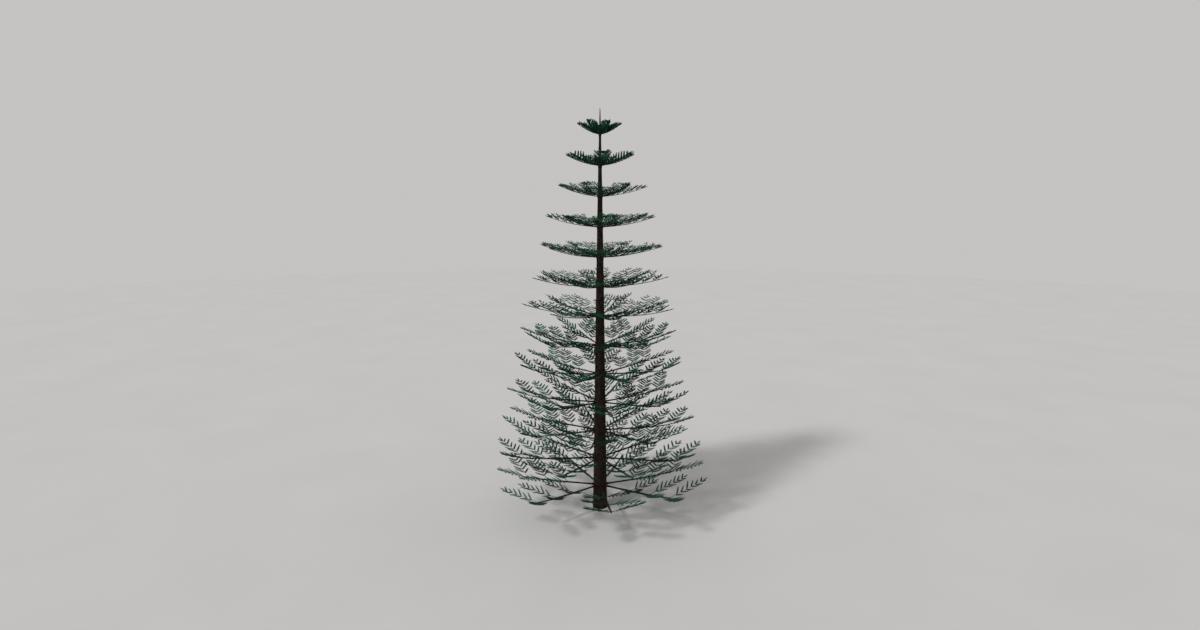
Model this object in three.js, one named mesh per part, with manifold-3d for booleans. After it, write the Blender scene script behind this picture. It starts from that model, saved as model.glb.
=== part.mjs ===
// A young, open-grown Norway spruce with its boughs in clear whorls.
// One trunk runs from a flat cut at ground level to the tip of the leader. Flat, upcurved boughs
// spring from it in tiers. Each carries paired side sprays of needles: a lower bough ends in its last
// pair, and an upper one carries on to a spray at its tip.
// Units are millimetres and degrees, +Z is up, and the origin is at the middle of the ground cut.

import * as THREE from "three";
import { mergeVertices } from "three/addons/utils/BufferGeometryUtils.js";
import Module from "manifold-3d";

const wasm = await Module();
wasm.setup();

// Driving dimensions
const TREE_HEIGHT = 8000;
const TRUNK_BASE_RADIUS = 143;
const LEADER_TIP_RADIUS = 5;
const TRUNK_TAPER = 0.77; // below 1 the trunk bulges out from a straight cone
const ROOT_FLARE = { radius: 18, height: 160, lobes: 5, lobeDepth: 7, rows: [0, 70, 160, 300] };
const TIER_COUNT = 13;
const LOWEST_TIER = 470;
const TIER_SPACING = 587;
const BOUGHS_PER_TIER = 7;
const CROWN_RADIUS = 2370; // what a bough's line would reach at ground level
const CROWN_TAPER = 0.62; // below 1 the outline bulges out from a straight cone

// Bough shape, as shares of the bough's own reach unless a unit is given
const TIP_RISE = { lowest: 235, highest: 205 }; // millimetres from the trunk to the bough's tip
const RISE_STRAIGHT = 0.32; // the share of the rise that is even, the rest turns up towards the tip
const RISE_POWER = { lowest: 3.6, highest: 2 }; // a higher power keeps the turn nearer to the tip
const LIMB_RADIUS_SHARE = 0.0085;
const LIMB_RADIUS_LEAST = 6;
const LIMB_TIP_RADIUS = 2.5;
const LIMB_END = 0.23; // where a bare limb gives way to its foliage

// Sprays of needles
const THREE_PAIRS = [
  { at: 0.3, length: 0.27 },
  { at: 0.49, length: 0.35 },
  { at: 0.68, length: 0.35 },
];
const TWO_PAIRS = [
  { at: 0.34, length: 0.32 },
  { at: 0.6, length: 0.34 },
];
const STEM_OVERRUN = 0.02; // how far the stem goes on past its last pair
const SPRAY_ANGLE = 46; // between a side spray and its bough
const SPRAY_LIFT = 16; // how far a side spray stands up out of the bough's plane
const SPRAY_HALF_WIDTH = { oneTooth: 0.29, twoTeeth: 0.22 }; // of the spray's length
const SPRAY_THICKNESS = 0.045;
const SPRAY_RIDGE_AT = 0.36;
const FIRST_TOOTH = 0.9; // steps from the root to the first tooth, one step being a tooth with its notch
const NOTCH_DEPTH = 0.45; // what is left of a tooth's reach at the notch behind it
const NOTCH_STEP = 0.1;
const TOOTH_TAPER = 0.45;

// Which tiers are split into limbs, boughs or whole whorls, counted from the ground
const LAST_TIER_WITH_LIMBS = 3;
const LAST_TIER_WITH_BOUGHS = 4;
const LAST_TIER_WITH_TWO_TEETH = 1;
const LAST_TIER_WITH_THREE_PAIRS = 6;

// Seeded variation from bough to bough
const SEED = 0.37;
const WEYL_STEPS = [0.754877666, 0.569840291, 0.381966011];
const AZIMUTH_FIRST = 18;
const WHORL_TWIST = 18.5; // from each whorl to the next one up, so that boughs stand over gaps
const AZIMUTH_JITTER = 3;
const REACH_JITTER = 0.04;
const RISE_JITTER = 0.12;
const SPRAY_LENGTH_JITTER = 0.06;
const SPRAY_ANGLE_JITTER = 2;
const SPRAY_LIFT_JITTER = 4;
const TRAIT = { azimuth: 1, reach: 2, rise: 3, spray: 4 }; // each spray adds its own number to the last

// Making and meeting
const GAP = 0.3; // clear space between pieces that meet
const WELD = 0.001; // points nearer than this are one point
const TRUNK_SIDES = 12;
const LIMB_SIDES = 5;
const TWIG_SIDES = 3;
const ROOT_DEPTH = 0.4; // a limb starts this share of the trunk's radius from its axis, then is trimmed
const COLLAR = { wall: 9, height: 36, firstCorner: -90 };
const TRUNK_ROW_TIERS = 3; // the trunk's outline has a row of points at every so many tiers

const BARK = new THREE.MeshStandardMaterial({ color: "#3b2e27", roughness: 0.92, metalness: 0 });
const LIMB_BARK = new THREE.MeshStandardMaterial({ color: "#46352b", roughness: 0.9, metalness: 0 });
const NEEDLES = new THREE.MeshStandardMaterial({ color: "#254a33", roughness: 0.7, metalness: 0 });

// A number from -1 to 1 that is always the same for the same seed, tier, bough and trait.
function vary(...keys) {
  const mixed = keys.reduce((sum, key, i) => sum + key * WEYL_STEPS[i], SEED);
  return 2 * (mixed - Math.floor(mixed)) - 1;
}

// A closed geometry as a solid that can be joined and cut.
function solidOf(geometry) {
  const bare = new THREE.BufferGeometry();
  bare.setAttribute("position", geometry.getAttribute("position"));
  bare.setIndex(geometry.index);
  const merged = mergeVertices(bare, WELD);
  const triVerts = new Uint32Array(merged.index.array);
  const vertProperties = merged.getAttribute("position").array;
  return new wasm.Manifold(new wasm.Mesh({ numProp: 3, vertProperties, triVerts }));
}

// A solid back as a geometry.
function geometryOf(solid) {
  const mesh = solid.getMesh();
  const geometry = new THREE.BufferGeometry();
  geometry.setAttribute("position", new THREE.BufferAttribute(mesh.vertProperties, 3));
  geometry.setIndex(new THREE.BufferAttribute(mesh.triVerts, 1));
  return geometry;
}

const joined = (solids) => solids.reduce((whole, solid) => whole.add(solid));

// Tier sizes

const tierHeight = (tier) => LOWEST_TIER + (tier - 1) * TIER_SPACING;

function tierReach(tier) {
  return CROWN_RADIUS * ((TREE_HEIGHT - tierHeight(tier)) / TREE_HEIGHT) ** CROWN_TAPER;
}

// The trunk

// The trunk's radius at a height: a full taper to the leader, widened into the root flare near the ground.
function trunkRadius(height) {
  const left = (1 - height / TREE_HEIGHT) ** TRUNK_TAPER;
  const taper = LEADER_TIP_RADIUS + (TRUNK_BASE_RADIUS - LEADER_TIP_RADIUS) * left;
  return taper + ROOT_FLARE.radius * Math.exp(-height / ROOT_FLARE.height);
}

// The turned trunk, grown outwards by a clearance, with the root flare's lobes pressed out at its foot.
function trunkGeometry(clearance = 0) {
  const heights = [...ROOT_FLARE.rows];
  for (let tier = 1; tier <= TIER_COUNT; tier += TRUNK_ROW_TIERS) heights.push(tierHeight(tier));
  heights.push(TREE_HEIGHT);
  const outline = heights.map((z) => new THREE.Vector2(trunkRadius(z) + clearance, z));
  const profile = [new THREE.Vector2(0, 0), ...outline, new THREE.Vector2(0, TREE_HEIGHT)];
  const geometry = new THREE.LatheGeometry(profile, TRUNK_SIDES).rotateX(Math.PI / 2);
  const position = geometry.getAttribute("position");
  for (let i = 0; i < position.count; i += 1) {
    const [x, y, z] = [position.getX(i), position.getY(i), position.getZ(i)];
    const radius = Math.hypot(x, y);
    if (radius === 0) continue;
    const press = ROOT_FLARE.lobeDepth * Math.exp(-z / ROOT_FLARE.height);
    const swell = 1 + (press * Math.cos(ROOT_FLARE.lobes * Math.atan2(y, x))) / radius;
    position.setXYZ(i, x * swell, y * swell, z);
  }
  return geometry;
}

const trunkWithClearance = solidOf(trunkGeometry(GAP));

// Boughs, each in its own frame: X outwards from the trunk's axis, Z up, level with the tier

const BOUGH_SPACING = 360 / BOUGHS_PER_TIER;
const tierTurn = (tier) => AZIMUTH_FIRST + (tier - 1) * WHORL_TWIST;

// A size that changes evenly from the lowest tier to the highest.
const atTier = ({ lowest, highest }, tier) => lowest + ((highest - lowest) * (tier - 1)) / (TIER_COUNT - 1);

// A bough's size and turn by the seeded rule.
function boughPlan(tier, bough) {
  const turn = tierTurn(tier) + (bough - 1) * BOUGH_SPACING;
  return {
    tier,
    bough,
    reach: tierReach(tier) * (1 + REACH_JITTER * vary(tier, bough, TRAIT.reach)),
    rise: atTier(TIP_RISE, tier) * (1 + RISE_JITTER * vary(tier, bough, TRAIT.rise)),
    power: atTier(RISE_POWER, tier),
    azimuth: turn + AZIMUTH_JITTER * vary(tier, bough, TRAIT.azimuth),
    teeth: tier <= LAST_TIER_WITH_TWO_TEETH ? 2 : 1,
    pairs: tier <= LAST_TIER_WITH_THREE_PAIRS ? THREE_PAIRS : TWO_PAIRS,
    hasTipSpray: tier > LAST_TIER_WITH_THREE_PAIRS,
  };
}

// The middle line of a bough from share 0, at the trunk's axis, to share 1, at its tip.
class BoughLine extends THREE.Curve {
  constructor({ reach, rise, power }) {
    super();
    Object.assign(this, { reach, rise, power });
  }

  getPoint(share, target = new THREE.Vector3()) {
    const lift = RISE_STRAIGHT * share + (1 - RISE_STRAIGHT) * share ** this.power;
    return target.set(this.reach * share, 0, this.rise * lift);
  }
}

function limbRadius({ reach }, share) {
  const base = Math.max(LIMB_RADIUS_LEAST, LIMB_RADIUS_SHARE * reach);
  return base + (LIMB_TIP_RADIUS - base) * share;
}

// A tapering limb along a bough's line: a cylinder whose rings sit on the line at the given shares.
function limbGeometry(plan, shares, sides) {
  const line = new BoughLine(plan);
  const steps = shares.length - 1;
  const geometry = new THREE.CylinderGeometry(1, 1, steps, sides, steps).rotateX(Math.PI / 2);
  const position = geometry.getAttribute("position");
  const side = new THREE.Vector3(0, 1, 0);
  for (let i = 0; i < position.count; i += 1) {
    const share = shares[Math.round(position.getZ(i) + steps / 2)];
    const radius = limbRadius(plan, share);
    const up = new THREE.Vector3().crossVectors(line.getTangent(share), side);
    const point = line.getPoint(share);
    point.addScaledVector(side, radius * position.getX(i));
    point.addScaledVector(up, radius * position.getY(i));
    position.setXYZ(i, point.x, point.y, point.z);
  }
  return geometry;
}

// Half of a spray's toothed outline, from its root to its tip, on the +Y side.
function toothedEdge(length, teeth) {
  const edge = [];
  const halfWidth = teeth > 1 ? SPRAY_HALF_WIDTH.twoTeeth : SPRAY_HALF_WIDTH.oneTooth;
  for (let i = 0; i < teeth; i += 1) {
    const along = (i + FIRST_TOOTH) / (teeth + 1);
    const across = halfWidth * (1 - (TOOTH_TAPER * i) / Math.max(1, teeth - 1));
    edge.push(new THREE.Vector2(along, across).multiplyScalar(length));
    edge.push(new THREE.Vector2(along + NOTCH_STEP, across * NOTCH_DEPTH).multiplyScalar(length));
  }
  return edge;
}

// A spray of needles along +X: a toothed blade with a sharp edge all round and a ridge above and below.
function sprayGeometry(length, teeth) {
  const edge = toothedEdge(length, teeth);
  const mirrored = edge.map((p) => new THREE.Vector2(p.x, -p.y)).reverse();
  const rim = [new THREE.Vector2(0, 0), ...mirrored, new THREE.Vector2(length, 0), ...edge.reverse()];
  const ridge = (SPRAY_THICKNESS * length) / 2;
  const points = rim.map((p) => new THREE.Vector3(p.x, p.y, 0));
  points.push(new THREE.Vector3(SPRAY_RIDGE_AT * length, 0, ridge));
  points.push(new THREE.Vector3(SPRAY_RIDGE_AT * length, 0, -ridge));
  const index = [];
  for (let i = 0; i < rim.length; i += 1) {
    const next = (i + 1) % rim.length;
    index.push(i, next, rim.length, next, i, rim.length + 1);
  }
  return new THREE.BufferGeometry().setFromPoints(points).setIndex(index);
}

// A spray set on the bough's line at a share of its reach, turned sideways and lifted.
function placedSpray(plan, share, length, angle, lift) {
  const line = new BoughLine(plan);
  const tangent = line.getTangent(share);
  const climb = Math.atan2(tangent.z, tangent.x);
  const turn = new THREE.Matrix4()
    .makeRotationY(-climb)
    .multiply(new THREE.Matrix4().makeRotationZ(THREE.MathUtils.degToRad(angle)))
    .multiply(new THREE.Matrix4().makeRotationY(-THREE.MathUtils.degToRad(lift)));
  return sprayGeometry(length, plan.teeth).applyMatrix4(turn.setPosition(line.getPoint(share)));
}

// The spray that carries on from a bough's last pair to the end of its line.
function tipSpray(plan) {
  const line = new BoughLine(plan);
  const rootAt = plan.pairs.at(-1).at;
  const reachOut = line.getPoint(1).sub(line.getPoint(rootAt));
  const aim = Math.atan2(reachOut.z, reachOut.x) - Math.asin(line.getTangent(rootAt).z);
  return placedSpray(plan, rootAt, reachOut.length(), 0, THREE.MathUtils.radToDeg(aim));
}

// A bough's sprays, in pairs along its sides, and on an upper bough one at its tip.
function spraySolids(plan) {
  const sprays = [];
  for (const { at, length } of plan.pairs) {
    for (const side of [-1, 1]) {
      const chance = vary(plan.tier, plan.bough, TRAIT.spray + sprays.length);
      const reach = length * plan.reach * (1 + SPRAY_LENGTH_JITTER * chance);
      const angle = side * (SPRAY_ANGLE - SPRAY_ANGLE_JITTER * chance);
      sprays.push(placedSpray(plan, at, reach, angle, SPRAY_LIFT + SPRAY_LIFT_JITTER * chance));
    }
  }
  if (plan.hasTipSpray) sprays.push(tipSpray(plan));
  return sprays.map(solidOf);
}

// The stem that carries the sprays, from where it starts to a little past its last pair.
function stemSolid(plan, from) {
  const shares = [from, ...plan.pairs.map(({ at }) => at)];
  shares[shares.length - 1] += STEM_OVERRUN;
  return solidOf(limbGeometry(plan, shares, TWIG_SIDES));
}

// The share of a bough's reach at which it is still inside the trunk, whose surface then trims it.
const rootShare = (plan) => (ROOT_DEPTH * trunkRadius(tierHeight(plan.tier))) / plan.reach;

// A solid in a tier's own frame, cut clear of the trunk.
function clearOfTrunk(solid, tier, azimuth = 0) {
  const trunk = trunkWithClearance.translate([0, 0, -tierHeight(tier)]).rotate([0, 0, -azimuth]);
  return solid.subtract(trunk);
}

const tree = new THREE.Group();

// Hangs a solid on the tree as a named mesh, in the frame of its tier and turned to its azimuth.
function addNode(name, solid, material, tier, azimuth = 0) {
  const mesh = new THREE.Mesh(geometryOf(solid), material);
  mesh.name = name;
  mesh.position.z = tierHeight(tier);
  mesh.rotation.z = THREE.MathUtils.degToRad(azimuth);
  tree.add(mesh);
}

// A bare limb from the trunk, and the foliage that carries on from its end.
function addLimbAndFoliage(tier, bough) {
  const plan = boughPlan(tier, bough);
  const gapShare = GAP / plan.reach;
  const limb = solidOf(limbGeometry(plan, [rootShare(plan), LIMB_END], LIMB_SIDES));
  const foliage = joined([stemSolid(plan, LIMB_END + gapShare), ...spraySolids(plan)]);
  const trimmed = clearOfTrunk(limb, tier, plan.azimuth);
  addNode(`tier_${tier}_limb_${bough}`, trimmed, LIMB_BARK, tier, plan.azimuth);
  addNode(`tier_${tier}_foliage_${bough}`, foliage, NEEDLES, tier, plan.azimuth);
}

// A bough whose foliage starts close to the trunk, as one mass on its own stem.
function boughSolid(plan) {
  return joined([stemSolid(plan, rootShare(plan)), ...spraySolids(plan)]);
}

function addBough(tier, bough) {
  const plan = boughPlan(tier, bough);
  const solid = clearOfTrunk(boughSolid(plan), tier, plan.azimuth);
  addNode(`tier_${tier}_bough_${bough}`, solid, NEEDLES, tier, plan.azimuth);
}

// The swelling of bark that one whorl's boughs spring from: a ring with a flat side for each bough.
function collarSolid(tier) {
  const flat = trunkRadius(tierHeight(tier)) + COLLAR.wall;
  const corner = flat / Math.cos(Math.PI / BOUGHS_PER_TIER);
  const ring = new THREE.CylinderGeometry(corner, corner, COLLAR.height, BOUGHS_PER_TIER);
  const turn = tierTurn(tier) + BOUGH_SPACING / 2 - COLLAR.firstCorner;
  return solidOf(ring.rotateX(Math.PI / 2).rotateZ(THREE.MathUtils.degToRad(turn)));
}

// A whole whorl of small boughs round the trunk.
function addWhorl(tier) {
  const boughs = [];
  for (let bough = 1; bough <= BOUGHS_PER_TIER; bough += 1) {
    const plan = boughPlan(tier, bough);
    boughs.push(boughSolid(plan).rotate([0, 0, plan.azimuth]));
  }
  const solid = clearOfTrunk(joined([collarSolid(tier), ...boughs]), tier);
  addNode(`tier_${tier}_whorl`, solid, NEEDLES, tier);
}

const trunk = new THREE.Mesh(trunkGeometry(), BARK);
trunk.name = "trunk";
tree.add(trunk);

for (let tier = 1; tier <= TIER_COUNT; tier += 1) {
  if (tier > LAST_TIER_WITH_BOUGHS) {
    addWhorl(tier);
    continue;
  }
  for (let bough = 1; bough <= BOUGHS_PER_TIER; bough += 1) {
    if (tier <= LAST_TIER_WITH_LIMBS) addLimbAndFoliage(tier, bough);
    else addBough(tier, bough);
  }
}

export default tree;
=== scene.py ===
# %% [markdown]
# # A young Norway spruce
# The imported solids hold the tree's true size: one trunk, bare limbs on the lowest tiers, and masses of
# foliage that are only toothed blades. They stay as the fixed frame, and this lesson grows the real
# surfaces where they stand: scaly bark, boughs, twigs and nearly half a million needles. All lengths are
# in metres, the origin is the middle of the ground cut, and +Z runs up the trunk.

# %% Load the frame
from math import pi, radians

import bpy
import numpy as np
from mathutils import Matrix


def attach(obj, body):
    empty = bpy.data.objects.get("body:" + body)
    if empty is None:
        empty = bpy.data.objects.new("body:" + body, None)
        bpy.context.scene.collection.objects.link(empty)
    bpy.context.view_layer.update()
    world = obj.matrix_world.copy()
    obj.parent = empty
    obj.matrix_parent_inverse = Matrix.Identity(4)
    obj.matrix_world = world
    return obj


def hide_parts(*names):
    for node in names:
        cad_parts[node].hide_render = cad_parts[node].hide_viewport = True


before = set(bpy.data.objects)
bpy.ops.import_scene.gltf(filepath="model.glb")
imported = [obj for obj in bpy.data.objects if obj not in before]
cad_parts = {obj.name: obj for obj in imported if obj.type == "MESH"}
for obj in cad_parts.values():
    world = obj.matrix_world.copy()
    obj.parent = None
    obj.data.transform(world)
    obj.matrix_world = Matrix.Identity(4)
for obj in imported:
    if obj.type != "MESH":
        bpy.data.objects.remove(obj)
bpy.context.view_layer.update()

# %% [markdown]
# ## The rule of growth
# A spruce adds one whorl of boughs under its leader each year, so the whorls stand at even heights and
# the lowest, oldest boughs reach furthest. The solids were grown from a few sizes by a seeded rule.
# Points could be read back from their meshes, but writing the rule again is shorter, and it can be
# carried on to finer twigs.

# %% Sizes of the trunk and its whorls
TREE_HEIGHT = 8.0
TRUNK_BASE_RADIUS = 0.143
LEADER_TIP_RADIUS = 0.005
TRUNK_TAPER = 0.77
FLARE_RADIUS, FLARE_HEIGHT, FLARE_LOBES, FLARE_LOBE_DEPTH = 0.018, 0.16, 5, 0.007
TIER_COUNT, BOUGHS_PER_TIER = 13, 7
LOWEST_TIER, TIER_SPACING = 0.47, 0.587
CROWN_RADIUS, CROWN_TAPER = 2.37, 0.62


def tier_height(tier):
    """Tiers are numbered from 1 at the ground and stand evenly apart."""
    return LOWEST_TIER + (tier - 1) * TIER_SPACING


def trunk_radius(height):
    """Base to leader by the height left to a power, widened at the ground by a flare that dies away
    exponentially."""
    left = (1 - height / TREE_HEIGHT) ** TRUNK_TAPER
    taper = LEADER_TIP_RADIUS + (TRUNK_BASE_RADIUS - LEADER_TIP_RADIUS) * left
    return taper + FLARE_RADIUS * np.exp(-height / FLARE_HEIGHT)


print("tier heights:", np.round(tier_height(np.arange(1, TIER_COUNT + 1)), 2))

# %% [markdown]
# Chance comes from a Weyl sequence: steps of irrational size, of which only the part after the point is
# kept. The numbers look irregular, yet the same bough gets the same number on every run.

# %% Seeded chance
SEED = 0.37
WEYL_STEPS = (0.754877666, 0.569840291, 0.381966011)


def vary(tier, bough, trait):
    """Twice the fractional part of seed + tier, bough and trait times their steps, less 1: from -1 to 1."""
    mixed = SEED + tier * WEYL_STEPS[0] + bough * WEYL_STEPS[1] + trait * WEYL_STEPS[2]
    return 2 * (mixed % 1) - 1


print("first chances:", np.round(vary(1, np.arange(1, 8), 1), 2))

# %% [markdown]
# Every bough is a row in a set of arrays, 91 rows in all. A bough leaves the trunk almost level and turns
# up at its tip, so its height over its reach is a straight share plus a power curve.

# %% The boughs as arrays
AZIMUTH_TRAIT, REACH_TRAIT, RISE_TRAIT, TWIG_TRAIT = 1, 2, 3, 4
FIRST_AZIMUTH, WHORL_TWIST, AZIMUTH_JITTER = 18, 18.5, 3
REACH_JITTER, RISE_JITTER = 0.04, 0.12
TIP_RISE = (0.235, 0.205)
RISE_POWER = (3.6, 2.0)
RISE_STRAIGHT = 0.32

bough_tier, bough_number = (
    grid.ravel()
    for grid in np.meshgrid(np.arange(1, TIER_COUNT + 1), np.arange(1, BOUGHS_PER_TIER + 1), indexing="ij")
)
tier_share = (bough_tier - 1) / (TIER_COUNT - 1)
crown_share = (TREE_HEIGHT - tier_height(bough_tier)) / TREE_HEIGHT
bough_reach = CROWN_RADIUS * crown_share**CROWN_TAPER
bough_reach = bough_reach * (1 + REACH_JITTER * vary(bough_tier, bough_number, REACH_TRAIT))
bough_rise = TIP_RISE[0] + (TIP_RISE[1] - TIP_RISE[0]) * tier_share
bough_rise = bough_rise * (1 + RISE_JITTER * vary(bough_tier, bough_number, RISE_TRAIT))
bough_power = RISE_POWER[0] + (RISE_POWER[1] - RISE_POWER[0]) * tier_share
bough_turn = FIRST_AZIMUTH + (bough_tier - 1) * WHORL_TWIST + (bough_number - 1) * 360 / BOUGHS_PER_TIER
bough_turn = np.radians(bough_turn + AZIMUTH_JITTER * vary(bough_tier, bough_number, AZIMUTH_TRAIT))
print("boughs:", len(bough_tier), "reach", bough_reach.min().round(2), "to", bough_reach.max().round(2))


# %% A bough's middle line and its directions
def bough_point(bough, share):
    """Out from the axis by reach * share, and up by rise * (straight * share + rest * share ** power)."""
    lift = RISE_STRAIGHT * share + (1 - RISE_STRAIGHT) * share ** bough_power[bough]
    out = bough_reach[bough] * share
    height = tier_height(bough_tier[bough]) + bough_rise[bough] * lift
    return np.stack([out * np.cos(bough_turn[bough]), out * np.sin(bough_turn[bough]), height], -1)


def bough_frame(bough, share):
    """Three unit vectors as rows: along the bough by its line's slope, level across it, and up from both."""
    power, turn = bough_power[bough], bough_turn[bough]
    slope = bough_rise[bough] * (RISE_STRAIGHT + (1 - RISE_STRAIGHT) * power * share ** (power - 1))
    climb = np.arctan2(slope, bough_reach[bough])
    along = np.stack([np.cos(climb) * np.cos(turn), np.cos(climb) * np.sin(turn), np.sin(climb)], -1)
    across = np.stack([-np.sin(turn), np.cos(turn), np.zeros_like(climb)], -1)
    return np.stack([along, across, np.cross(along, across)], -2)


def turned(frames, yaw, lift):
    """Frames turned by yaw about their third vector, then with their first tipped up towards it by lift."""
    along, across, upward = frames[..., 0, :], frames[..., 1, :], frames[..., 2, :]
    yaw, lift = yaw[..., None], lift[..., None]
    out = np.cos(yaw) * along + np.sin(yaw) * across
    side = np.cos(yaw) * across - np.sin(yaw) * along
    tipped = np.cos(lift) * out + np.sin(lift) * upward
    return np.stack([tipped, side, np.cos(lift) * upward - np.sin(lift) * out], -2)


every_bough = np.arange(len(bough_tier))
tips = bough_point(every_bough, np.ones(len(every_bough)))
print("bough tips stand from", tips[:, 2].min().round(2), "to", tips[:, 2].max().round(2))

# %% [markdown]
# ## Meshes from arrays
# Blender can copy objects or scatter particles, but an export drops those. Here each kind of piece is one
# mesh, worked out as whole arrays of points and corners and handed over in one go, which takes a second
# or so even for a hundred thousand triangles.


# %% A piece of the tree from arrays
def new_piece(name, points, triangles, material, slot, nodes, smooth=False):
    """A mesh object at the origin that rides on the tree and stands for some of its solids."""
    mesh = bpy.data.meshes.new(name)
    mesh.vertices.add(len(points))
    mesh.vertices.foreach_set("co", points.astype(np.float32).ravel())
    mesh.loops.add(triangles.size)
    mesh.loops.foreach_set("vertex_index", triangles.astype(np.int32).ravel())
    mesh.polygons.add(len(triangles))
    mesh.polygons.foreach_set("loop_start", np.arange(0, triangles.size, 3, dtype=np.int32))
    mesh.polygons.foreach_set("use_smooth", np.full(len(triangles), smooth))
    mesh.materials.append(material)
    mesh.update(calc_edges=True)
    piece = bpy.data.objects.new(name, mesh)
    bpy.context.scene.collection.objects.link(piece)
    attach(piece, "root")
    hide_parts(*nodes)
    print(f"{name}: {len(triangles)} triangles")
    return piece


def joined(*parts):
    """Several (points, triangles) as one: later triangles count on from the points before them."""
    starts = np.cumsum([0] + [len(points) for points, _ in parts])
    points = np.concatenate([points for points, _ in parts])
    return points, np.concatenate([triangles + start for (_, triangles), start in zip(parts, starts)])


# %% [markdown]
# Trunk, boughs, twigs and shoots are all tubes: a ring carried along a path, with its own radius at every
# point. A curve object with a bevel would do for a few, but its ring stays round, and bark needs a rough
# one.


# %% Tubes along paths
def tubes(centres, frames, radii, ends):
    """Closed tubes: each ring point stands at radius * (cos a * across + sin a * upward) from its centre.
    Neighbour rings are joined by two triangles a side, the first and last ring by a fan to the ends."""
    count, rings, sides = radii.shape
    angle = np.arange(sides) * 2 * pi / sides
    ring = np.cos(angle)[:, None] * frames[:, :, None, 1] + np.sin(angle)[:, None] * frames[:, :, None, 2]
    wall = (centres[:, :, None] + radii[..., None] * ring).reshape(count, rings * sides, 3)
    points = np.concatenate([wall, ends], 1)
    here = np.arange(rings * sides).reshape(rings, sides)
    right = np.roll(here, -1, 1)
    lower = np.stack([here[:-1], right[:-1], right[1:]], -1)
    upper = np.stack([here[:-1], right[1:], here[1:]], -1)
    root = np.stack([np.full(sides, rings * sides), right[0], here[0]], -1)
    tip = np.stack([here[-1], right[-1], np.full(sides, rings * sides + 1)], -1)
    one = np.concatenate([lower.reshape(-1, 3), upper.reshape(-1, 3), root, tip])
    triangles = np.arange(count)[:, None, None] * points.shape[1] + one
    return points.reshape(-1, 3), triangles.reshape(-1, 3)


# %% [markdown]
# ## Colour and shader nodes
# Colours are written as the sRGB hex values that a paint program shows. Blender's shaders work in linear
# light, so one function turns them over. A second function adds a node with its settings and links, which
# keeps each material down to a few readable lines.


# %% Colour and node helpers
def colour(hex_code):
    """sRGB hex to linear RGBA: divide by 12.92 in the darkest part, else raise (c + 0.055) / 1.055 to 2.4."""
    srgb = np.array([int(hex_code[i : i + 2], 16) for i in (1, 3, 5)]) / 255
    linear = np.where(srgb <= 0.04045, srgb / 12.92, ((srgb + 0.055) / 1.055) ** 2.4)
    return (*linear.tolist(), 1.0)


def add_node(tree, kind, inputs, **settings):
    """A shader node with its settings; inputs are plain values, or another node's output to link."""
    node = tree.nodes.new(kind)
    for key, value in settings.items():
        setattr(node, key, value)
    for key, value in inputs.items():
        if isinstance(value, bpy.types.NodeSocket):
            tree.links.new(value, node.inputs[key])
        else:
            node.inputs[key].default_value = value
    return node


def blended(tree, share, low, high):
    """The outlet of a Mix node between two colours; its inlets 0, 6 and 7 are the share and the colours."""
    return add_node(tree, "ShaderNodeMix", {0: share, 6: low, 7: high}, data_type="RGBA").outputs[2]


def new_material(name, roughness, gloss):
    """A material whose Principled shader has a roughness and a share of a clean surface's mirror light,
    which Blender writes as a level of one half."""
    material = bpy.data.materials.new(name)
    material.use_nodes = True
    shader = material.node_tree.nodes["Principled BSDF"]
    shader.inputs["Roughness"].default_value = roughness
    shader.inputs["Specular IOR Level"].default_value = gloss / 2
    return material, material.node_tree, shader


# %% [markdown]
# ## Camera
# The tree was pictured from a little over two thirds of its height, looking slightly down, with a wide
# lens. The place and the lens follow from the heights of the thirteen whorls and the line where the trunk
# meets the ground.

# %% The camera
CAMERA_PLACE = (0.0, -13.303, 6.039)
CAMERA_PITCH = 81.35
CAMERA_SENSOR = 36.0
CAMERA_LENS = 20.265

camera_data = bpy.data.cameras.new("camera")
camera_data.sensor_width = CAMERA_SENSOR
camera_data.lens = CAMERA_LENS
camera = bpy.data.objects.new("camera", camera_data)
camera.location = CAMERA_PLACE
camera.rotation_euler = (radians(CAMERA_PITCH), 0, 0)
bpy.context.scene.collection.objects.link(camera)
bpy.context.scene.camera = camera
print("lens:", CAMERA_LENS, "mm at", CAMERA_PLACE)

# %% [markdown]
# ## Studio
# A plain pale floor and soft light let the fine twigs read against a quiet ground. One sun, 8 degrees
# wide, stands at the left, in front and 45 degrees up, which gives the sprays a lit and a shaded side,
# and the pale world fills the rest. The floor is nearly as bright as the world behind it, so that only a
# faint horizon shows. The Standard view keeps dark greens as dark as they are written.

# %% Floor and light
FLOOR_RADIUS, FLOOR_SIDES, FLOOR_DROP = 60.0, 64, 0.001
CLOUD_SIZE = 2.5
WORLD_STRENGTH = 0.8
SUN_STRENGTH, SUN_WIDTH = 2.0, 8
SUN_TILT, SUN_TURN = 45, -54

floor_angle = np.arange(FLOOR_SIDES) * 2 * pi / FLOOR_SIDES
floor_rim = np.stack([np.cos(floor_angle), np.sin(floor_angle), np.zeros(FLOOR_SIDES)], -1) * FLOOR_RADIUS
floor_mesh = bpy.data.meshes.new("floor")
floor_mesh.from_pydata((floor_rim - (0, 0, FLOOR_DROP)).tolist(), [], [list(range(FLOOR_SIDES))])
floor = bpy.data.objects.new("floor", floor_mesh)
bpy.context.scene.collection.objects.link(floor)

# Matt studio paper: pale and even, with only a faint cloudiness.
paper, paper_tree, paper_shader = new_material("matt_paper", roughness=0.9, gloss=0.6)
paper_place = add_node(paper_tree, "ShaderNodeTexCoord", {}).outputs["Object"]
paper_cloud = add_node(paper_tree, "ShaderNodeTexNoise", {"Vector": paper_place, "Scale": 1 / CLOUD_SIZE})
paper_colour = blended(paper_tree, paper_cloud.outputs["Fac"], colour("#bebdbc"), colour("#c6c5c4"))
paper_tree.links.new(paper_colour, paper_shader.inputs["Base Color"])
floor_mesh.materials.append(paper)

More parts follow.
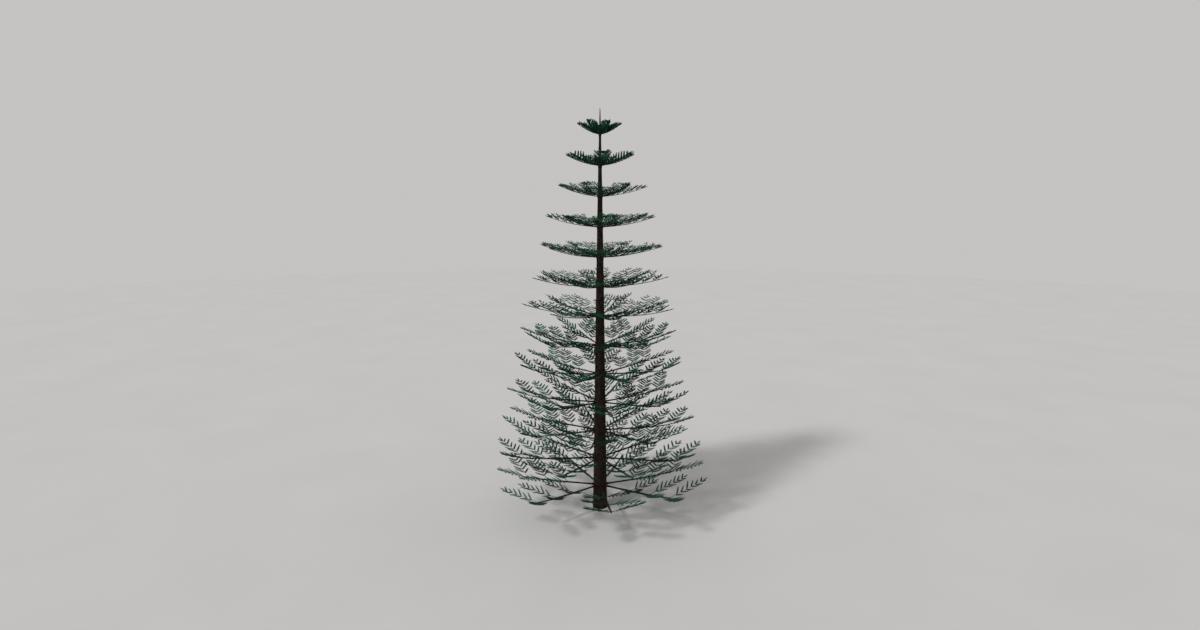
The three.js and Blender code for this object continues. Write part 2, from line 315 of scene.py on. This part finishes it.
world = bpy.data.worlds.new("studio")
world.use_nodes = True
world.node_tree.nodes["Background"].inputs["Color"].default_value = colour("#d9d8d6")
world.node_tree.nodes["Background"].inputs["Strength"].default_value = WORLD_STRENGTH
bpy.context.scene.world = world

sun_data = bpy.data.lights.new("soft_sun", "SUN")
sun_data.energy = SUN_STRENGTH
sun_data.angle = radians(SUN_WIDTH)
sun = bpy.data.objects.new("soft_sun", sun_data)
sun.rotation_euler = (radians(SUN_TILT), 0, radians(SUN_TURN))
bpy.context.scene.collection.objects.link(sun)
bpy.context.scene.view_settings.view_transform = "Standard"
print("floor and light are in place")

# %% [markdown]
# ## Bark of the trunk
# A young spruce has thin, dark, grey-brown bark that flakes in small scales, with redder bark showing
# between them. The relief could be a displacement modifier, but worked out with the trunk's own radius it
# stays one plain mesh. Each bough leaves a swollen collar where it springs from the trunk.


# %% Soft noise round the trunk
def lattice_noise(up, around, cells_up, cells_around, seed):
    """Random values from -1 to 1 on a lattice that wraps round the trunk, blended by 3t^2 - 2t^3 in between.
    up and around run from 0 to 1."""
    lattice = np.random.default_rng(seed).uniform(-1, 1, (cells_up + 2, cells_around))
    row, column = up * cells_up, around * cells_around
    row_cell, column_cell = np.floor(row).astype(int), np.floor(column).astype(int)
    row_blend, column_blend = row - row_cell, column - column_cell
    row_blend = row_blend**2 * (3 - 2 * row_blend)
    column_blend = column_blend**2 * (3 - 2 * column_blend)
    left, right = column_cell % cells_around, (column_cell + 1) % cells_around
    lower = lattice[row_cell, left] * (1 - column_blend) + lattice[row_cell, right] * column_blend
    upper = lattice[row_cell + 1, left] * (1 - column_blend) + lattice[row_cell + 1, right] * column_blend
    return lower * (1 - row_blend) + upper * row_blend


# %% The trunk's surface
TRUNK_ROWS, TRUNK_COLUMNS = 420, 60
SCALE_HEIGHT, SCALES_AROUND = 0.06, 20
SCALE_SEED, PLATE_SEED = 11, 12
CRACK_DEPTH, CRACK_WIDTH, PLATE_SWELL = 0.0035, 0.16, 0.002
COLLAR_SWELL, COLLAR_SIZE = 0.011, 0.045
BUD_LENGTH, BUD_SWELL, BUD_CLOSING = 0.045, 0.3, 0.98

trunk_up, trunk_around = np.meshgrid(
    np.linspace(0, 1, TRUNK_ROWS), np.arange(TRUNK_COLUMNS) / TRUNK_COLUMNS, indexing="ij"
)
trunk_height, trunk_angle = trunk_up * TREE_HEIGHT, trunk_around * 2 * pi
smooth_radius = trunk_radius(trunk_height)
scale_rows = round(TREE_HEIGHT / SCALE_HEIGHT)
scales = lattice_noise(trunk_up, trunk_around, scale_rows, SCALES_AROUND, SCALE_SEED)
plates = lattice_noise(trunk_up, trunk_around, scale_rows // 2, SCALES_AROUND // 2, PLATE_SEED)
relief = PLATE_SWELL * plates - CRACK_DEPTH * np.exp(-((scales / CRACK_WIDTH) ** 2))
relief *= smooth_radius / TRUNK_BASE_RADIUS

for tier, turn in zip(bough_tier, bough_turn):
    up_off = (trunk_height - tier_height(tier)) / COLLAR_SIZE
    sideways = np.angle(np.exp(1j * (trunk_angle - turn))) * smooth_radius / COLLAR_SIZE
    swell = COLLAR_SWELL * trunk_radius(tier_height(tier)) / TRUNK_BASE_RADIUS
    relief += swell * np.exp(-(up_off**2) - sideways**2)

lobes = FLARE_LOBE_DEPTH * np.exp(-trunk_height / FLARE_HEIGHT) * np.cos(FLARE_LOBES * trunk_angle)
bud_share = np.clip((trunk_height - TREE_HEIGHT + BUD_LENGTH) / BUD_LENGTH, 0, 1)
bud = (1 + BUD_SWELL * np.sin(pi * bud_share)) * np.sqrt(1 - BUD_CLOSING * bud_share**2)
trunk_surface = (smooth_radius + lobes + relief) * bud
print("bark relief:", (relief.min() * 1000).round(1), "to", (relief.max() * 1000).round(1), "mm")

# %% [markdown]
# The bark's finish carries the scales on where the mesh is too coarse: a Voronoi pattern stretched along
# the trunk, with a tone of grey-brown for each scale, and cracks painted nearly black in places as
# painted shade and redder in others, where the inner bark shows. The cells are 34 mm wide, about three
# times the real ones, because finer cells would blur away at this distance.

# %% Spruce bark
BARK_CELL, BARK_STRETCH, CRACK_SHARE = 0.034, 0.5, 0.15
PATCH_SIZE, PATCH_DETAIL = 0.12, 4.0
BARK_BUMP, BARK_BUMP_DEPTH = 0.6, 0.003

# Dull spruce bark: grey-brown scales of their own tones, parted by cracks in painted shade and reddish inner
# bark.
bark, bark_tree, bark_shader = new_material("spruce_bark", roughness=0.9, gloss=0.2)
bark_place = add_node(bark_tree, "ShaderNodeTexCoord", {}).outputs["Object"]
bark_stretch = add_node(
    bark_tree, "ShaderNodeMapping", {"Vector": bark_place, "Scale": (1.0, 1.0, BARK_STRETCH)}
)
bark_pattern = {"Vector": bark_stretch.outputs["Vector"], "Scale": 1 / BARK_CELL}
bark_edges = add_node(bark_tree, "ShaderNodeTexVoronoi", bark_pattern, feature="DISTANCE_TO_EDGE")
bark_scales = add_node(bark_tree, "ShaderNodeTexVoronoi", bark_pattern)
bark_cracks = add_node(
    bark_tree, "ShaderNodeMapRange", {"Value": bark_edges.outputs["Distance"], "From Max": CRACK_SHARE}
).outputs["Result"]
bark_patches = add_node(
    bark_tree, "ShaderNodeTexNoise", {"Vector": bark_place, "Scale": 1 / PATCH_SIZE, "Detail": PATCH_DETAIL}
)
scale_colour = blended(bark_tree, bark_scales.outputs["Color"], colour("#1e1511"), colour("#3a322c"))
# The cracks' colour is painted shade, nearly black, in some patches and reddish inner bark in others.
crack_shade_and_inner_bark = blended(bark_tree, bark_patches.outputs["Fac"], colour("#040302"), colour("#1e0f0a"))
bark_colour = blended(bark_tree, bark_cracks, crack_shade_and_inner_bark, scale_colour)
bark_bump = add_node(
    bark_tree,
    "ShaderNodeBump",
    {"Height": bark_cracks, "Strength": BARK_BUMP, "Distance": BARK_BUMP_DEPTH},
)
bark_tree.links.new(bark_colour, bark_shader.inputs["Base Color"])
bark_tree.links.new(bark_bump.outputs["Normal"], bark_shader.inputs["Normal"])
print("bark cells:", BARK_CELL * 1000, "mm")

# %% The trunk
trunk_axis = np.zeros((1, TRUNK_ROWS, 3))
trunk_axis[0, :, 2] = trunk_height[:, 0]
upright = np.broadcast_to(np.array([[0, 0, 1], [1, 0, 0], [0, 1, 0]], float), (1, TRUNK_ROWS, 3, 3))
trunk_ends = np.array([[[0, 0, 0], [0, 0, TREE_HEIGHT]]], float)
new_piece(
    "trunk_with_bark",
    *tubes(trunk_axis, upright, trunk_surface[None], trunk_ends),
    bark,
    "trunk_bark",
    ["trunk"],
    smooth=True,
)

# %% [markdown]
# ## Boughs
# Each bough is a tapering limb that starts inside the trunk, bare and brown near it. The lower boughs end
# in their last pair of side twigs, the upper ones run on to a tip of their own. The limb's ring swells
# into a collar at the trunk and a little at every pair of twigs, and small bumps stand for the pegs that
# old needles leave behind.

# %% Where the side twigs spring
# A pair's place on the bough, its length as a share of the bough's reach, and its own number for chance.
LOWER_PAIRS = ((0.3, 0.27, 0), (0.49, 0.35, 2), (0.68, 0.35, 4))
MIDDLE_PAIRS = ((0.2, 0.2, 20), (0.34, 0.32, 0), (0.47, 0.3, 24), (0.6, 0.34, 2), (0.77, 0.2, 26))
UPPER_PAIRS = (
    (0.13, 0.2, 20),
    (0.23, 0.27, 22),
    (0.34, 0.32, 0),
    (0.47, 0.33, 24),
    (0.6, 0.34, 2),
    (0.75, 0.22, 26),
    (0.88, 0.11, 28),
)
TOP_PAIRS = (
    (0.1, 0.2, 20),
    (0.18, 0.25, 22),
    (0.26, 0.29, 30),
    (0.34, 0.32, 0),
    (0.42, 0.33, 32),
    (0.51, 0.34, 24),
    (0.6, 0.34, 2),
    (0.69, 0.29, 34),
    (0.78, 0.24, 26),
    (0.88, 0.18, 28),
)
ZONE_PAIRS = (LOWER_PAIRS, MIDDLE_PAIRS, UPPER_PAIRS, TOP_PAIRS)
TOP_ZONE = 3
STEM_OVERRUN = 0.02
ZONE_END = np.array([LOWER_PAIRS[-1][0] + STEM_OVERRUN, 1, 1, 1])
FIRST_MIDDLE_TIER, FIRST_UPPER_TIER, FIRST_TOP_TIER = 7, 9, 12
LAST_TIER_WITH_LIMBS, TIER_OF_BOUGHS = 3, 4
LIMB_RADIUS_SHARE, LIMB_RADIUS_LEAST, LIMB_TIP_RADIUS = 0.0085, 0.006, 0.0025

bough_zone = np.digitize(bough_tier, (FIRST_MIDDLE_TIER, FIRST_UPPER_TIER, FIRST_TOP_TIER))
zone_boughs = [np.flatnonzero(bough_zone == zone) for zone in range(len(ZONE_PAIRS))]


def limb_radius(bough, share):
    """A straight taper from the bough's base, a fixed share of its reach, to a young shoot's thickness."""
    base = np.maximum(LIMB_RADIUS_LEAST, LIMB_RADIUS_SHARE * bough_reach[bough])
    return base + (LIMB_TIP_RADIUS - base) * share


print("limbs are", (2000 * limb_radius(every_bough, 0)).round(1).max(), "mm thick at most")

# %% The boughs' surfaces
LIMB_RINGS, LIMB_SIDES, RING_POWER = 26, 7, 1.2
LIMB_START = 0.5
KNOT_SWELL, KNOT_WIDTH = 0.22, 0.012
BASE_SWELL, BASE_LENGTH = 0.7, 0.03
PEG_RELIEF = 0.06
# Two waves whose product makes the pegs: turns round the limb, turns along it, and a shift for each bough.
PEG_WAVES = ((3, 95, 1), (5, -160, 2.4))

limb = np.broadcast_to(every_bough[:, None], (len(every_bough), LIMB_RINGS))
limb_from = LIMB_START * trunk_radius(tier_height(bough_tier)) / bough_reach
limb_long = ZONE_END[bough_zone] - limb_from
limb_share = limb_from[:, None] + limb_long[:, None] * np.linspace(0, 1, LIMB_RINGS) ** RING_POWER
limb_angle = np.arange(LIMB_SIDES) * 2 * pi / LIMB_SIDES
distance = limb_share * bough_reach[:, None]
from_trunk = np.maximum(0, distance - trunk_radius(tier_height(bough_tier))[:, None])
swell = 1 + BASE_SWELL * np.exp(-from_trunk / BASE_LENGTH)
for boughs, pairs in zip(zone_boughs, ZONE_PAIRS):
    for at, _, _ in pairs:
        swell[boughs] += KNOT_SWELL * np.exp(-(((limb_share[boughs] - at) / KNOT_WIDTH) ** 2))
pegs = 1
for around, along, shift in PEG_WAVES:
    pegs = pegs * np.sin(around * limb_angle + along * distance[..., None] + shift * limb[..., None])
limb_surface = limb_radius(limb, limb_share)[..., None] * (swell[..., None] + PEG_RELIEF * pegs)
limb_axis = bough_point(limb, limb_share)
limb_ends = limb_axis[:, [0, -1]]
print("bough rings:", limb_share.shape)

# %% [markdown]
# Bough bark is thinner and browner than the trunk's, with lighter and darker bands a few centimetres
# long.

# %% Bough bark
BAND_LENGTH, BAND_DETAIL = 0.06, 3.0
GRAIN_SIZE, GRAIN_BUMP, GRAIN_DEPTH = 0.008, 0.5, 0.002

# Thin bough bark: dull brown, a little smoother than the trunk's.
bough_bark, bough_tree, bough_shader = new_material("bough_bark", roughness=0.85, gloss=0.2)
bough_place = add_node(bough_tree, "ShaderNodeTexCoord", {}).outputs["Object"]
bough_bands = add_node(
    bough_tree, "ShaderNodeTexNoise", {"Vector": bough_place, "Scale": 1 / BAND_LENGTH, "Detail": BAND_DETAIL}
)
bough_grain = add_node(bough_tree, "ShaderNodeTexNoise", {"Vector": bough_place, "Scale": 1 / GRAIN_SIZE})
bough_colour = blended(bough_tree, bough_bands.outputs["Fac"], colour("#1b100c"), colour("#34211a"))
bough_bump = add_node(
    bough_tree,
    "ShaderNodeBump",
    {"Height": bough_grain.outputs["Fac"], "Strength": GRAIN_BUMP, "Distance": GRAIN_DEPTH},
)
bough_tree.links.new(bough_colour, bough_shader.inputs["Base Color"])
bough_tree.links.new(bough_bump.outputs["Normal"], bough_shader.inputs["Normal"])


def nodes_of(first_tier, last_tier, *words):
    """The names of the solids of some tiers whose name holds one of the words."""
    names = [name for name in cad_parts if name.startswith("tier_")]
    tiers = {name: int(name.split("_")[1]) for name in names}
    return [n for n in names if first_tier <= tiers[n] <= last_tier and n.split("_")[2] in words]


new_piece(
    "boughs",
    *tubes(limb_axis, bough_frame(limb, limb_share), limb_surface, limb_ends),
    bough_bark,
    "limb_bark",
    nodes_of(1, LAST_TIER_WITH_LIMBS, "limb"),
    smooth=True,
)

# %% [markdown]
# ## Side twigs
# Pairs of side twigs spring from each bough, swept forward and lifted out of its plane. The solids have
# one toothed blade for each twig of the lower boughs. Higher up the tree is younger and its twigs stand
# closer, so the pairs there are the solids' own with more beside and between them, inside the same
# outline. In the youngest whorl the twigs still point up more steeply.

# %% The twigs as arrays
TWIG_ANGLE, TWIG_ANGLE_JITTER = 46, 2
TWIG_LIFT, TWIG_LIFT_JITTER, YOUNGEST_LIFT = 16, 4, 10
TWIG_LENGTH_JITTER = 0.06

bough_lift = TWIG_LIFT + YOUNGEST_LIFT * (bough_tier == TIER_COUNT)
twig_rows = []
for boughs, pairs in zip(zone_boughs, ZONE_PAIRS):
    for at, length, trait in pairs:
        for number, side in enumerate((-1, 1)):
            chance = vary(bough_tier[boughs], bough_number[boughs], TWIG_TRAIT + trait + number)
            reach = length * bough_reach[boughs] * (1 + TWIG_LENGTH_JITTER * chance)
            yaw = side * np.radians(TWIG_ANGLE - TWIG_ANGLE_JITTER * chance)
            lift = np.radians(bough_lift[boughs] + TWIG_LIFT_JITTER * chance)
            twig_rows.append(np.stack([boughs, np.full(len(boughs), at), reach, yaw, lift], -1))
twig_bough, twig_at, twig_length, twig_yaw, twig_lift = np.concatenate(twig_rows).T
twig_bough = twig_bough.astype(int)
twig_root = bough_point(twig_bough, twig_at)
twig_frame = turned(bough_frame(twig_bough, twig_at), twig_yaw, twig_lift)
print("twigs:", len(twig_bough), "of", twig_length.min().round(2), "to", twig_length.max().round(2), "m")

# %% The twigs' surfaces
TWIG_CURVE = 0.03
TWIG_RINGS, TWIG_SIDES = 5, 4
TWIG_RADIUS_SHARE, TWIG_TIP_RADIUS = 0.5, 0.0015


def twig_point(twig, share):
    """Root plus length times (share along the twig + curve * share squared upwards)."""
    bend = share[..., None] * twig_frame[twig, 0] + TWIG_CURVE * share[..., None] ** 2 * twig_frame[twig, 2]
    return twig_root[twig] + twig_length[twig][..., None] * bend


twig = np.broadcast_to(np.arange(len(twig_bough))[:, None], (len(twig_bough), TWIG_RINGS))
twig_share = np.broadcast_to(np.linspace(0, 1, TWIG_RINGS), twig.shape)
twig_base = TWIG_RADIUS_SHARE * limb_radius(twig_bough, twig_at)[:, None]
twig_radius = twig_base + (TWIG_TIP_RADIUS - twig_base) * twig_share
twig_axis = twig_point(twig, twig_share)
twig_surface = np.repeat(twig_radius[..., None], TWIG_SIDES, -1)
new_piece(
    "twigs",
    *tubes(twig_axis, twig_frame[twig], twig_surface, twig_axis[:, [0, -1]]),
    bough_bark,
    "limb_bark",
    nodes_of(TIER_OF_BOUGHS, TIER_COUNT, "bough", "whorl"),
    smooth=True,
)

# %% [markdown]
# ## Shoots
# A spruce carries its needles on shoots of a hand's length, set in pairs along the twigs like the barbs
# of a feather, which lies nearly flat and grows shorter barbs towards its end. Copies of one shoot could
# be placed on every twig, but as rows in arrays each can have its own place, directions and length.

# %% Shoots along the twigs
ZONE_SHOOT, SHOOT_LEAST = np.array([0.088, 0.084, 0.075, 0.075]), 0.068
ZONE_SPACING, SPACING_LEAST = np.array([0.043, 0.062, 0.056, 0.061]), 0.027
SHOOT_PAIRS_LEAST = 3
SHOOT_FIRST, SHOOT_LAST = 0.13, 0.92
SHOOT_ANGLE, SHOOT_ANGLE_JITTER = 54, 5
SHOOT_LIFT, SHOOT_LIFT_JITTER = 2, 6
SHOOT_END_SHARE = 0.42
SHOOT_PLACE_JITTER, SHOOT_LENGTH_JITTER = 0.15, 0.1

bough_shoot = np.maximum(SHOOT_LEAST, ZONE_SHOOT[bough_zone] * bough_reach)
bough_spacing = np.maximum(SPACING_LEAST, ZONE_SPACING[bough_zone] * bough_reach)


def counted(counts):
    """For rows that repeat: each repeat's row, and its number within that row."""
    rows = np.repeat(np.arange(len(counts)), counts)
    return rows, np.arange(len(rows)) - np.repeat(np.cumsum(counts) - counts, counts)


pair_counts = np.rint((SHOOT_LAST - SHOOT_FIRST) * twig_length / bough_spacing[twig_bough]).astype(int)
needled_twig = bough_zone[twig_bough] == TOP_ZONE
pair_counts = np.where(needled_twig, 0, np.maximum(SHOOT_PAIRS_LEAST, pair_counts))
pair_twig, pair_number = counted(pair_counts)
shoot_twig = np.repeat(pair_twig, 2)
shoot_number = np.repeat(pair_number, 2)
shoot_side = np.tile([-1, 1], len(pair_twig))
shoot_chance = vary(shoot_twig, shoot_number, shoot_side)
place = (shoot_number + 0.5 + SHOOT_PLACE_JITTER * shoot_chance) / pair_counts[shoot_twig]
shoot_share = SHOOT_FIRST + (SHOOT_LAST - SHOOT_FIRST) * place
shrink = 1 - (1 - SHOOT_END_SHARE) * np.clip(2 * place - 1, 0, 1) ** 2
shoot_reach = bough_shoot[twig_bough[shoot_twig]] * shrink * (1 + SHOOT_LENGTH_JITTER * shoot_chance)
bent = turned(twig_frame[shoot_twig], np.zeros(len(shoot_twig)), np.arctan(2 * TWIG_CURVE * shoot_share))
shoot_yaw = shoot_side * np.radians(SHOOT_ANGLE + SHOOT_ANGLE_JITTER * shoot_chance)
shoot_lift = np.radians(SHOOT_LIFT + SHOOT_LIFT_JITTER * shoot_chance)
twig_shoots = (
    twig_point(shoot_twig, shoot_share),
    turned(bent, shoot_yaw, shoot_lift),
    shoot_reach,
    twig_bough[shoot_twig],
    shoot_twig,
)
print("shoots on the sides of twigs:", len(shoot_twig))

# %% [markdown]
# Every twig ends in a shoot. In the two youngest whorls the twigs have not branched yet, so there the
# whole twig is one needled shoot.

# %% Shoots at the twigs' ends
NEEDLED_FROM = 0.04

end_twig = np.arange(len(twig_bough))
end_share = np.where(needled_twig, NEEDLED_FROM, SHOOT_LAST)
end_shoots = (
    twig_point(end_twig, end_share),
    turned(twig_frame, np.zeros(len(end_twig)), np.arctan(2 * TWIG_CURVE * end_share)),
    np.where(needled_twig, twig_length, bough_shoot[twig_bough] * SHOOT_END_SHARE),
    twig_bough,
    end_twig,
)
print("shoots at the ends of twigs:", len(end_twig))

# %% [markdown]
# Past its last pair of twigs, an upper bough itself carries shoots, shorter and shorter to its tip. These
# are the solids' tip sprays.

# %% Shoots along the boughs' tips
TIP_SHOOT, TIP_SHRINK, TIP_ANGLE = 0.8, 0.45, 44
TIP_GAP, TIP_TO, TIP_OVERRUN = 0.03, 0.97, 0.01
TIP_TRAIT = 7

tip_from = np.array([pairs[-1][0] for pairs in ZONE_PAIRS])[bough_zone] + TIP_GAP
tip_counts = np.rint((TIP_TO - tip_from) * bough_reach / bough_spacing).astype(int)
tip_counts = np.where(ZONE_END[bough_zone] == 1, np.maximum(SHOOT_PAIRS_LEAST, tip_counts), 0)
pair_bough, pair_number = counted(tip_counts)
tip_bough, tip_number = np.repeat(pair_bough, 2), np.repeat(pair_number, 2)
tip_side = np.tile([-1, 1], len(pair_bough))
tip_chance = vary(tip_bough, tip_number, tip_side + TIP_TRAIT)
place = (tip_number + 0.5 + SHOOT_PLACE_JITTER * tip_chance) / tip_counts[tip_bough]
tip_share = tip_from[tip_bough] + (TIP_TO - tip_from[tip_bough]) * place
tip_reach = TIP_SHOOT * bough_shoot[tip_bough] * (1 - TIP_SHRINK * place)
tip_shoots = (
    bough_point(tip_bough, tip_share),
    turned(
        bough_frame(tip_bough, tip_share),
        tip_side * np.radians(TIP_ANGLE + SHOOT_ANGLE_JITTER * tip_chance),
        np.radians(SHOOT_LIFT + SHOOT_LIFT_JITTER * tip_chance),
    ),
    tip_reach,
    tip_bough,
    len(twig_bough) + tip_bough,
)
last_bough = np.flatnonzero(ZONE_END[bough_zone] == 1)
last_share = np.full(len(last_bough), TIP_TO)
last_shoots = (
    bough_point(last_bough, last_share),
    bough_frame(last_bough, last_share),
    (1 - TIP_TO) * bough_reach[last_bough] + TIP_OVERRUN,
    last_bough,
    len(twig_bough) + last_bough,
)
print("shoots along the boughs' tips:", len(tip_bough) + len(last_bough))

# %% [markdown]
# A spruce keeps its needles for six years or more, so the outer part of a bough is clothed as well.
# Lengths of bough are added to the rows as shoots that lie along it, straight, with their needles rooted
# on its bark.

# %% Needled lengths of bough
CLOTHED_FROM, CLOTHED_STEP = 0.2, 0.075

clothed_long = ZONE_END[bough_zone] - CLOTHED_FROM
clothed_counts = np.ceil(clothed_long * bough_reach / CLOTHED_STEP).astype(int)
clothed_bough, clothed_number = counted(clothed_counts)
clothed_step = clothed_long[clothed_bough] / clothed_counts[clothed_bough]
clothed_share = CLOTHED_FROM + clothed_step * clothed_number
clothed_shoots = (
    bough_point(clothed_bough, clothed_share),
    bough_frame(clothed_bough, clothed_share),
    clothed_step * bough_reach[clothed_bough],
    clothed_bough,
    len(twig_bough) + len(bough_tier) + clothed_bough,
)
print("needled lengths of bough:", len(clothed_bough))

# %% All shoots together
SHOOT_CURVE = 0.09

groups = (twig_shoots, end_shoots, tip_shoots, last_shoots, clothed_shoots)
shoot_root, shoot_frame, shoot_length, shoot_bough, shoot_spray = (
    np.concatenate(part) for part in zip(*groups)
)
shoot_tier = bough_tier[shoot_bough]
shoot_wood = np.zeros(len(shoot_root))
shoot_wood[-len(clothed_bough):] = limb_radius(clothed_bough, clothed_share)
shoot_curve = np.where(shoot_wood > 0, 0, SHOOT_CURVE)
print("shoots:", len(shoot_root))

# %% [markdown]
# ## Needles
# Needles stand along the shoot, combed to its left and right and upwards, and lie further forward towards
# its tip, so that a shoot looks like a narrow leaf. Each needle is a small blade folded along its middle,
# cut to its own outline, with its root in the shoot. Real ones are 15 to 25 mm long and 1.5 mm wide, with
# 150 or so on a shoot of this length. There are at most ninety here, wider in that measure, and a flat
# leaf-shaped core along the shoot stands for their close-set roots, so that a shoot hides as much as a
# real one. In the light of the upper crown needles grow a little shorter.

# %% Needles and their shoots
NEEDLE_LENGTH, NEEDLE_ASPECT = 0.029, 0.25
NEEDLE_LEAST, NEEDLE_SHARE = 0.012, 0.13
ZONE_NEEDLE = np.array([1, 0.88, 0.87, 0.95])
NEEDLE_SPREAD, NEEDLE_SPREAD_TIP = 52, 24
COMB_LOW, COMB_HIGH = -40, 55
GOLDEN_SHARE = 0.618034
NEEDLE_FOLD, NEEDLE_BROADEST, NEEDLE_ROOT = 0.06, 0.55, 0.3
END_LENGTH, MIDDLE_MORE = 0.7, 0.3
CORE_AT = (0.22, 0.68)
CORE_WIDTHS, CORE_THICKNESS = np.array([0.52, 0.41]), 0.3


def shoot_point(shoots, share):
    """Root plus length times (share along the shoot + curve * share squared upwards)."""
    along, upward = shoot_frame[shoots][:, None, 0], shoot_frame[shoots][:, None, 2]
    bend = share[..., None] * along + shoot_curve[shoots][:, None, None] * share[..., None] ** 2 * upward
    return shoot_root[shoots][:, None] + shoot_length[shoots][:, None, None] * bend


def needle_length(shoots):
    """A least length plus a share of the shoot's, up to the full length, times the zone's share of that."""
    full = np.minimum(NEEDLE_LENGTH, NEEDLE_LEAST + NEEDLE_SHARE * shoot_length[shoots])
    return full * ZONE_NEEDLE[bough_zone[shoot_bough[shoots]]]


def shoot_cores(shoots):
    """Flat four-sided leaves: a point at the root, two rings of their own widths, and a point at the tip."""
    rings = shoot_point(shoots, np.broadcast_to(CORE_AT, (len(shoots), 2)))
    ends = shoot_point(shoots, np.broadcast_to([0.0, 1.0], (len(shoots), 2)))
    thick = np.full(2, CORE_THICKNESS)
    outline = np.stack([CORE_WIDTHS, thick, CORE_WIDTHS, thick], -1)
    frames = np.broadcast_to(shoot_frame[shoots][:, None], (len(shoots), 2, 3, 3))
    return tubes(rings, frames, needle_length(shoots)[:, None, None] * outline, ends)


def needle_blades(shoots, count):
    """Needles stand at even steps along a shoot, left and right in turn, tipped up by golden shares of the
    comb's range. A needle points cos(spread) along the shoot and sin(spread) out from it. Its four corners
    are its root, its point and the two where it is broadest, which lie lower, so that it is folded along
    its middle."""
    along, across, upward = (shoot_frame[shoots][:, None, row] for row in range(3))
    number = np.arange(count)
    share = np.broadcast_to((number + 0.5) / count, (len(shoots), count))
    tip_up = COMB_LOW + (COMB_HIGH - COMB_LOW) * ((number // 2 + shoots[:, None]) * GOLDEN_SHARE % 1)
    tip_up = np.radians(tip_up)[..., None]
    side = np.where(number % 2, 1, -1)[:, None]
    spread = np.radians(NEEDLE_SPREAD + (NEEDLE_SPREAD_TIP - NEEDLE_SPREAD) * share)[..., None]
    out = side * np.cos(tip_up) * across + np.sin(tip_up) * upward
    point = np.cos(spread) * along + np.sin(spread) * out
    width = np.cross(np.broadcast_to(upward, point.shape), point)
    most = needle_length(shoots)[:, None, None]
    length = most * (END_LENGTH + MIDDLE_MORE * np.sin(pi * share))[..., None]
    depth = np.maximum(shoot_wood[shoots][:, None, None], NEEDLE_ROOT * CORE_THICKNESS * most)
    root = shoot_point(shoots, share) + depth * out
    middle = root + NEEDLE_BROADEST * length * point - NEEDLE_FOLD * most * upward
    half = NEEDLE_ASPECT / 2 * most * width
    points = np.stack([root, middle - half, root + length * point, middle + half], -2)
    first = np.arange(points.shape[0] * points.shape[1])[:, None, None] * points.shape[2]
    triangles = first + np.array([[0, 1, 2], [0, 2, 3]])
    return points.reshape(-1, 3), triangles.reshape(-1, 3)


print("needles are up to", needle_length(np.arange(len(shoot_root))).max() * 1000, "mm long")

# %% [markdown]
# Old needles are nearly black-green, younger ones brighter and a little blue. A real spray is mostly of
# one age, so each spray is dealt one of three greens by the seeded rule, and each green is its own piece.
# Within a piece the green only mottles softly. Needles have a waxy skin, so they keep a faint gloss.


# %% Needle greens
MOTTLE_SIZE = 0.04


def needle_skin(name, dark, light):
    """Waxy needle skin: two near greens mottled over 40 mm, and a soft gloss."""
    material, tree, shader = new_material(name, roughness=0.5, gloss=0.3)
    where = add_node(tree, "ShaderNodeTexCoord", {}).outputs["Object"]
    mottle = add_node(tree, "ShaderNodeTexNoise", {"Vector": where, "Scale": 1 / MOTTLE_SIZE})
    green = blended(tree, mottle.outputs["Fac"], colour(dark), colour(light))
    tree.links.new(green, shader.inputs["Base Color"])
    return material


GREENS = {
    "old": needle_skin("old_needles", "#0b2b19", "#133b25"),
    "grown": needle_skin("grown_needles", "#0f3e28", "#175339"),
    "young": needle_skin("young_needles", "#15533f", "#1f684e"),
}

AGE_PULL, AGE_MIDDLE = 1.2, 0.5
TIP_SPRAY_AT = 0.75
GREEN_ROW, GREEN_TRAIT = 3, 5
GREEN_LIMITS = (-0.3, 0.45)

tip_at = np.full(len(bough_tier), TIP_SPRAY_AT)
clothed_at = np.full(len(bough_tier), CLOTHED_FROM)
spray_at = np.concatenate([twig_at, tip_at, clothed_at])
deal = vary(np.arange(len(spray_at)), GREEN_ROW, GREEN_TRAIT) + AGE_PULL * (spray_at - AGE_MIDDLE)
spray_green = np.digitize(deal, GREEN_LIMITS)
print("sprays of each green:", np.bincount(spray_green))

# %% The needle pieces
# The first and last tier of each band, and the needles on each of its shoots.
BANDS = ((1, 2, 76), (3, 4, 70), (5, 6, 60), (7, 8, 44), (9, 11, 32), (12, 13, 90))
for first_tier, last_tier, needle_count in BANDS:
    masses = nodes_of(first_tier, last_tier, "foliage", "bough", "whorl")
    in_band = (shoot_tier >= first_tier) & (shoot_tier <= last_tier)
    for number, (green, skin) in enumerate(GREENS.items()):
        chosen = np.flatnonzero(in_band & (spray_green[shoot_spray] == number))
        name = f"needles_{green}_tiers_{first_tier}_to_{last_tier}"
        clothed = joined(shoot_cores(chosen), needle_blades(chosen, needle_count))
        new_piece(name, *clothed, skin, "needles", masses)
